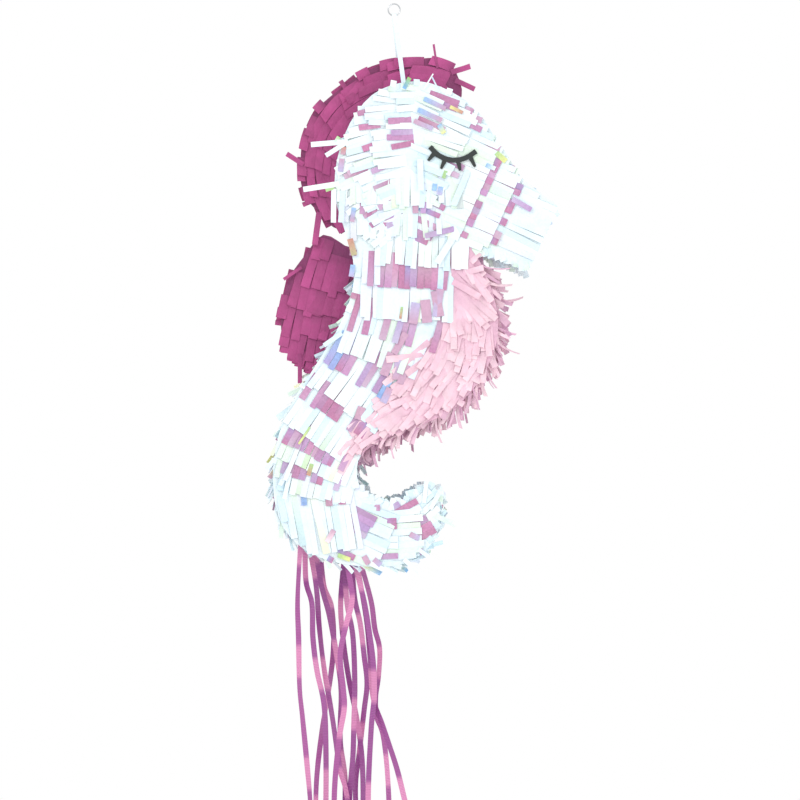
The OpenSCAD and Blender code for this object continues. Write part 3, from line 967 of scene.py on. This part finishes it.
def clothe_edge_bases(edge, owner, parts, door):
    """The white layer under the strips, or on the belly a darker pink one of painted shade, in short flat lengths
    from side to side.
    """
    step = 6 * MM
    count = int(edge.length / step)
    for k in range(count):
        s = k * edge.length / count
        p, _, _ = edge.at(s + step / 2)
        name = owner(p)
        # On the belly this layer is a darker pink: painted shade in the gaps between the strips
        colour = mix(PINK, DUSKY, 0.5) if name == "belly" else WHITE
        by_door = p[1] < TAIL_BASE_Z and door.free - step < p[0] < door.hinge + step
        gap = door.half + 2 * MM
        spans = [(-HALF, -gap), (gap, HALF)] if by_door else [(-HALF, HALF)]
        for low, high in spans:
            edge.base(parts[name], [s + step * t for t in (-0.1, 0.5, 1.1)], low, high, colour)
    clothe_door_base(edge, parts["door"], door)


def clothe_door_base(edge, sheets, door):
    """The white layer under the trap door's strips, which stands back from its hinge line and sides."""
    step = 3 * MM
    half = door.half - 1 * MM
    for k in range(int(edge.length / step)):
        ends = [edge.place(k * step), edge.place((k + 1) * step)]
        if all(p[1] < TAIL_BASE_Z and door.free + 1 * MM < p[0] < door.hinge - 8 * MM for p in ends):
            edge.base(sheets, [(k + t) * step for t in (0.0, 0.5, 1.0)], -half, half, WHITE)


# ---- crest and fin


def clothe_trim(side, parts):
    word = "near" if side < 0 else "far"
    y = side * abs(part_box("near_crest_fringe")[0].y)
    for name, guide, span in (("crest", CREST_GUIDE, 0.045), ("fin", FIN_GUIDE, 0.060)):
        loops = flat_outline(f"{word}_{name}_fringe", y)
        area = Area(loops)
        # The layer under the tissue strips is in shaded magenta: painted shade in the gaps between them
        parts[name].base(loops, side, BOARD_HALF, SHADED_MAGENTA)
        face = Face(side, BOARD_HALF, area)
        length = int(1000 * sum((Vector(a) - Vector(b)).length for a, b in zip(guide, guide[1:])))
        pitch = 26
        bands = [(k, k + pitch, magenta_strip, 0.0) for k in range(-4, length + pitch, pitch)]
        bands += [(k + 9, k + 19, magenta_strip, 0.6) for k in range(0, length, pitch)]
        face.bands(guide, bands, lambda p: parts[name] if area.holds(p) else None,
                   lambda s: (span, span), TISSUE_ROWS)


# ---- strays

# Loose strips that stand out on the near side: region and colour, then for each strip its root's x and z
# in mm, the way it points in degrees from +X, and its length and width in mm
STRAYS = [
    ("head", white_strip, [(-46, -139, 184, 37, 5.2), (-48, -140, 213, 24, 4.6),
        (-55, -181, 189, 36, 5.6), (-51, -188, 266, 32, 5.4), (-60, -186, 269, 34, 5.2),
        (26, -156, 272, 32, 6.0), (74, -168, 248, 38, 6.2)]),
    ("head", mauve_strip, [(60, -226, 194, 30, 5.6)]),
    ("head", white_strip, [(62, -230, 238, 36, 6.6)]),
    ("snout", mauve_strip, [(118, -196, 330, 22, 5.2)]),
    ("body", white_strip, [(-52, -330, 215, 22, 4.6), (-94, -440, 248, 40, 4.2),
        (-98, -452, 243, 34, 4.4)]),
    ("tail", white_strip, [(-104, -470, 258, 26, 4.2), (36, -506, 60, 22, 4.6), (30, -500, 84, 22, 4.2),
        (40, -512, 336, 24, 5.0), (10, -556, 318, 24, 4.6), (-24, -560, 335, 30, 4.8),
        (24, -546, 325, 26, 4.0)]),
    ("crest", magenta_strip, [(-92, -158, 147, 20, 5.0), (-76, -206, 262, 34, 6.2),
        (58, -64, 15, 20, 5.6), (62, -72, 335, 22, 5.2), (44, -60, 100, 24, 2.2)]),
    ("head", white_strip, [(30, -86, 58, 17, 1.4), (46, -90, 118, 17, 1.4)]),
    ("head", glint_strip, [(10, -86, 62, 12, 4.0)]),
    ("fin", magenta_strip, [(-94, -262, 215, 22, 3.4), (-96, -350, 272, 30, 4.4)]),
]

# Bright flecks of film on the near side: region, then the same five numbers for each and its two colours
# Those with orange, green or yellow in them are painted glints of the film's coloured reflections
GLINTS = [
    ("head", [(-50, -144, 262, 8, 5.0, ORANGE, MAUVE), (-52, -156, 264, 13, 5.2, MAUVE, LAVENDER),
        (-55, -134, 240, 8, 4.0, GREEN, WHITE), (-60, -184, 200, 9, 5.0, GREEN, GREEN),
        (-40, -205, 262, 14, 4.6, BLUE, MAUVE),
        (-44, -236, 285, 17, 6.0, ORANGE, mix(ORANGE, GREEN, 0.5)), (30, -96, 335, 24, 4.6, BLUE, MAUVE),
        (24, -107, 335, 26, 5.0, BLUE, MAUVE), (20, -118, 335, 20, 4.6, MAUVE, LAVENDER),
        (56, -104, 335, 14, 3.4, YELLOW, ORANGE), (45, -122, 300, 10, 5.0, BLUE, YELLOW),
        (41, -181, 262, 7, 4.6, BLUE, BLUE), (47, -184, 258, 8, 5.0, BLUE, LAVENDER),
        (52, -168, 250, 8, 3.6, GREEN, GREEN)]),
    ("snout", [(102, -150, 318, 13, 5.4, GREEN, YELLOW), (92, -162, 335, 10, 4.4, BLUE, WHITE)]),
    ("body", [(-41, -262, 262, 12, 5.0, BLUE, LAVENDER), (-84, -424, 238, 22, 2.2, GREEN, YELLOW),
        (8, -304, 262, 12, 2.4, GREEN, ORANGE), (22, -300, 262, 21, 9.0, LAVENDER, MAUVE),
        (31, -297, 276, 23, 10.0, MAUVE, MAUVE), (41, -288, 280, 26, 9.0, MAUVE, MAUVE),
        (46, -286, 262, 28, 8.0, MAUVE, LAVENDER), (12, -330, 240, 24, 7.0, MAUVE, MAUVE),
        (-2, -350, 250, 24, 9.0, MAUVE, MAUVE), (6, -352, 262, 25, 9.0, LAVENDER, MAUVE),
        (13, -362, 250, 20, 7.0, MAUVE, MAUVE), (-4, -385, 245, 16, 7.0, MAUVE, LAVENDER),
        (-32, -404, 252, 13, 8.0, MAUVE, MAUVE)]),
    ("tail", [(-82, -461, 252, 12, 4.2, GREEN, ORANGE), (-56, -552, 340, 13, 4.4, GREEN, YELLOW),
        (-60, -527, 240, 14, 5.2, MAUVE, PALE_PINK), (-30, -553, 300, 9, 5.6, MAUVE, MAUVE),
        (-20, -556, 320, 9, 5.6, MAUVE, LAVENDER), (16, -531, 335, 10, 5.4, MAUVE, LAVENDER)]),
]


def add_strays(parts):
    """The flecks, some of them painted glints, and then the loose strips, each on its own."""
    right = Vector((1, 0))
    for name, flecks in GLINTS:
        for x, z, angle, length, width, first, second in flecks:
            style = Style(lift=0.8 * MM, base=2.7 * MM, cup=0.1, roll=0.1)
            Face(-1, HALF, None).flap(parts[name], Vector((x * MM, z * MM)),
                                      turned(right, math.radians(angle)), length * MM,
                                      two_tone(first, second)(5), style, width=width * MM)
    for name, colour, strips in STRAYS:
        face = Face(-1, BOARD_HALF if name in ("crest", "fin") else HALF, None)
        for x, z, angle, length, width in strips:
            style = Style(lift=2.0 * MM, base=2.6 * MM, cup=0.1, rings=7, roll=0.2)
            face.flap(parts[name], Vector((x * MM, z * MM)), turned(right, math.radians(angle)),
                      length * MM, colour(7), style, curl=rng.uniform(1, 3) * MM, width=width * MM)


# ---- ribbons

RIBBON_WIDTH = 5.5 * MM
# The routes of the curling ribbons, as the CAD model has them: (x, z) in mm, and each one's y
RIBBON_ROUTES = [
    [(-50, -564), (-48, -603), (-42, -637), (-40, -686), (-41, -728), (-42, -761), (-45, -797),
     (-47, -857), (-42, -927)],
    [(-94, -540), (-97, -597), (-96, -637), (-95, -686), (-92, -717), (-87, -769), (-84, -807),
     (-82, -867), (-86, -922)],
    [(-90, -542.5), (-89, -580), (-83, -603), (-82, -637), (-78, -670), (-71, -703), (-69, -742),
     (-69, -807), (-72, -887)],
    [(-86, -545.5), (-79, -587), (-76, -627), (-71, -670), (-64, -711), (-59, -744), (-55, -772),
     (-47, -807), (-44, -897)],
    [(-81, -548.2), (-74, -587), (-66, -617), (-58, -661), (-54, -695), (-55, -744), (-50, -786),
     (-52, -847), (-58, -912)],
    [(-48, -558), (-42, -595), (-48, -622), (-54, -653), (-51, -686), (-50, -707), (-55, -737),
     (-60, -797), (-58, -877)],
    [(-44, -558.5), (-41, -600), (-35, -628), (-31, -661), (-28, -689), (-31, -717), (-36, -761),
     (-40, -802), (-36, -887)],
    [(-40, -559), (-30, -600), (-25, -630), (-21, -661), (-20, -695), (-23, -728), (-26, -797),
     (-24, -857), (-30, -917)],
    [(-36, -559.5), (-24, -603), (-20, -632), (-15, -653), (-16, -681), (-19, -703), (-18, -723),
     (-11, -744), (-6, -797), (-4, -877)],
    [(-38, -559), (-28, -617), (-24, -657), (-21, -697), (-12, -723), (-5, -744), (3, -769),
     (10, -797), (22, -847), (26, -902)],
    [(-76, -550.7), (-72, -587), (-64, -609), (-62, -647), (-66, -687), (-74, -737), (-80, -797),
     (-79, -877)],
    [(-51, -557.5), (-55, -607), (-52, -647), (-46, -687), (-38, -727), (-33, -767), (-32, -817),
     (-34, -887)],
]
RIBBON_YS = [0, -30, -18, -6, 6, -36, 36, -31, 31, -26, 18, 27]
RIBBON_TINTS = [(0.33, 0.072, 0.29), (0.30, 0.06, 0.27), (0.37, 0.08, 0.30)]
# Pale pink of the painted highlights on the ribbons
RIBBON_HIGHLIGHT = (0.80, 0.30, 0.52)
RIB_PITCH = 1.6 * MM
RIBBON_STEP = 3 * MM
LOOP_WIDTH = 4.6 * MM
LOOP_COLOUR = (0.76, 0.88, 0.93)


def make_ribbon(i, material):
    route = [(x * MM, z * MM) for x, z in RIBBON_ROUTES[i]]
    y = RIBBON_YS[i] * MM
    line = along_line(route, RIBBON_STEP)
    sheets = Sheets()
    base = rng.choice(RIBBON_TINTS)
    phase, turn = rng.uniform(0, 6.28), rng.uniform(0.010, 0.022)
    twist = rng.uniform(0.2, 0.7)
    centres, acrosses, normals, colours, marks = [], [], [], [], []
    for k, (p, d) in enumerate(line):
        s = k * RIBBON_STEP
        angle = twist * math.sin(phase + s / turn * 0.45)
        flat = Vector((-d.y, 0, d.x))
        out = Vector((0, -1, 0))
        across = flat * math.cos(angle) + out * math.sin(angle)
        normal = out * math.cos(angle) - flat * math.sin(angle)
        centres.append(Vector((p.x, y, p.y)))
        acrosses.append(across * (RIBBON_WIDTH / 2))
        normals.append(normal)
        # Painted highlight: pale stretches along each ribbon, as where it would catch the light
        shine = max(0.0, min(1.0, 5.0 * math.sin(phase * 2 + s / 0.018) - 2.6))
        colours.append(mix(base, RIBBON_HIGHLIGHT, 0.7 * shine))
        marks.append(s / RIB_PITCH * 2 * math.pi)
    sheets.strip(centres, acrosses, normals, colours, marks=marks)
    node = "pull_ribbon" if i == 0 else f"ribbon_{i}"
    piece = sheets.finish(f"curling_{node}", material, "pull_ribbon" if i == 0 else "pinata",
                          [node], "curling_ribbon")


# ---- hanging ribbon


def make_hanging_ribbon(material):
    """Two flat strands from the ring down to both sides of the crown."""
    wire_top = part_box("hanging_ring")[0].z + 1.4 * MM
    sheets = Sheets()
    top = Vector((0, 0, wire_top + 1.7 * MM))
    near_foot = Vector((0.0105, -0.015, -0.082))
    far_foot = Vector((0.0075, 0.015, -0.082))
    arc = [top + Vector((0, 1.7 * MM * math.sin(a), 1.3 * MM * (math.cos(a) - 1))) for a in
           (-1.4, -0.9, -0.4, 0, 0.4, 0.9, 1.4)]
    centres = [near_foot.lerp(arc[0], k / 8) for k in range(8)] + arc
    centres += [arc[-1].lerp(far_foot, k / 8) for k in range(1, 9)]
    acrosses, normals, colours = [], [], []
    for k, c in enumerate(centres):
        ahead = centres[min(len(centres) - 1, k + 1)] - centres[max(0, k - 1)]
        d = ahead.normalized()
        side = Vector((1, 0, 0))
        side = (side - d * side.dot(d)).normalized()
        acrosses.append(side * (LOOP_WIDTH / 2))
        normals.append(side.cross(d).normalized())
        colours.append(LOOP_COLOUR)
    sheets.strip(centres, acrosses, normals, colours)
    sheets.finish("hanging_ribbon", material, "pinata", ["ribbon_loop"], "loop_ribbon")


# ---- the whole

make_camera()
make_studio()

film = film_material()
pink_tissue = tissue_material("pink_tissue", 0.5, 0.7)
magenta_tissue = tissue_material("magenta_tissue", 0.55, 0.6)
ribbon_film = ribbon_material()

for i in range(len(RIBBON_ROUTES)):
    make_ribbon(i, ribbon_film)
make_hanging_ribbon(film)

parts = {name: Sheets() for name in
         ("head", "snout", "body", "belly", "tail", "crown", "back", "door", "crest", "fin", "flap")}
clothe_side(-1, parts)
clothe_side(1, parts)
clothe_edge(parts)
clothe_trim(-1, parts)
clothe_trim(1, parts)
add_strays(parts)

# The pieces of film fringe: region, name, body and the CAD nodes that each replaces
FILM_PIECES = [
    ("head", "head_fringe", "pinata", ["near_head_fringe", "far_head_fringe"]),
    ("crown", "crown_fringe", "pinata", ["crown_edge_fringe"]),
    ("snout", "snout_fringe_strips", "pinata", ["snout_fringe"]),
    ("body", "body_fringe", "pinata", ["near_body_fringe", "far_body_fringe"]),
    ("back", "back_fringe", "pinata", ["back_edge_fringe"]),
    ("tail", "tail_fringe_strips", "pinata", ["tail_fringe"]),
    ("door", "trap_door_strips", "trap_door", ["trap_door_fringe"]),
    ("flap", "filler_flap_strips", "filler_flap", ["filler_flap_fringe"]),
]
for region, name, body, nodes in FILM_PIECES:
    parts[region].finish(name, film, body, nodes, "white_film_fringe")
# The same for the tissue fringe, all of it on the body
TISSUE_PIECES = [
    ("belly", pink_tissue, ["near_belly_fringe", "far_belly_fringe", "belly_edge_fringe"], "pink"),
    ("crest", magenta_tissue, ["near_crest_fringe", "far_crest_fringe"], "magenta"),
    ("fin", magenta_tissue, ["near_fin_fringe", "far_fin_fringe"], "magenta"),
]
for region, material, nodes, tone in TISSUE_PIECES:
    parts[region].finish(f"{region}_fringe", material, "pinata", nodes, f"{tone}_tissue_fringe", soft=True)

card = card_material("corrugated_board", (0.55, 0.41, 0.27))
trim_card = card_material("dyed_board", (0.30, 0.045, 0.16))
vinyl = gloss_material("lash_vinyl", (0.014, 0.020, 0.020), 0.3)
tape = gloss_material("clear_tape", (0.80, 0.80, 0.76), 0.2)
wire = gloss_material("ring_wire", (0.62, 0.64, 0.66), 0.25, metallic=1.0)
knot = gloss_material("knotted_ribbon", (0.70, 0.84, 0.90), 0.35)
SLOT_MATERIALS = {"cardboard": card, "trim_board": trim_card, "lash_sticker": vinyl,
                  "clear_tape": tape, "ring_wire": wire, "loop_ribbon": knot}
for part in frame["record"]["subparts"]:
    if part["material_slot"] in SLOT_MATERIALS:
        mesh = frame["nodes"][part["node"]].data
        mesh.materials.clear()
        mesh.materials.append(SLOT_MATERIALS[part["material_slot"]])
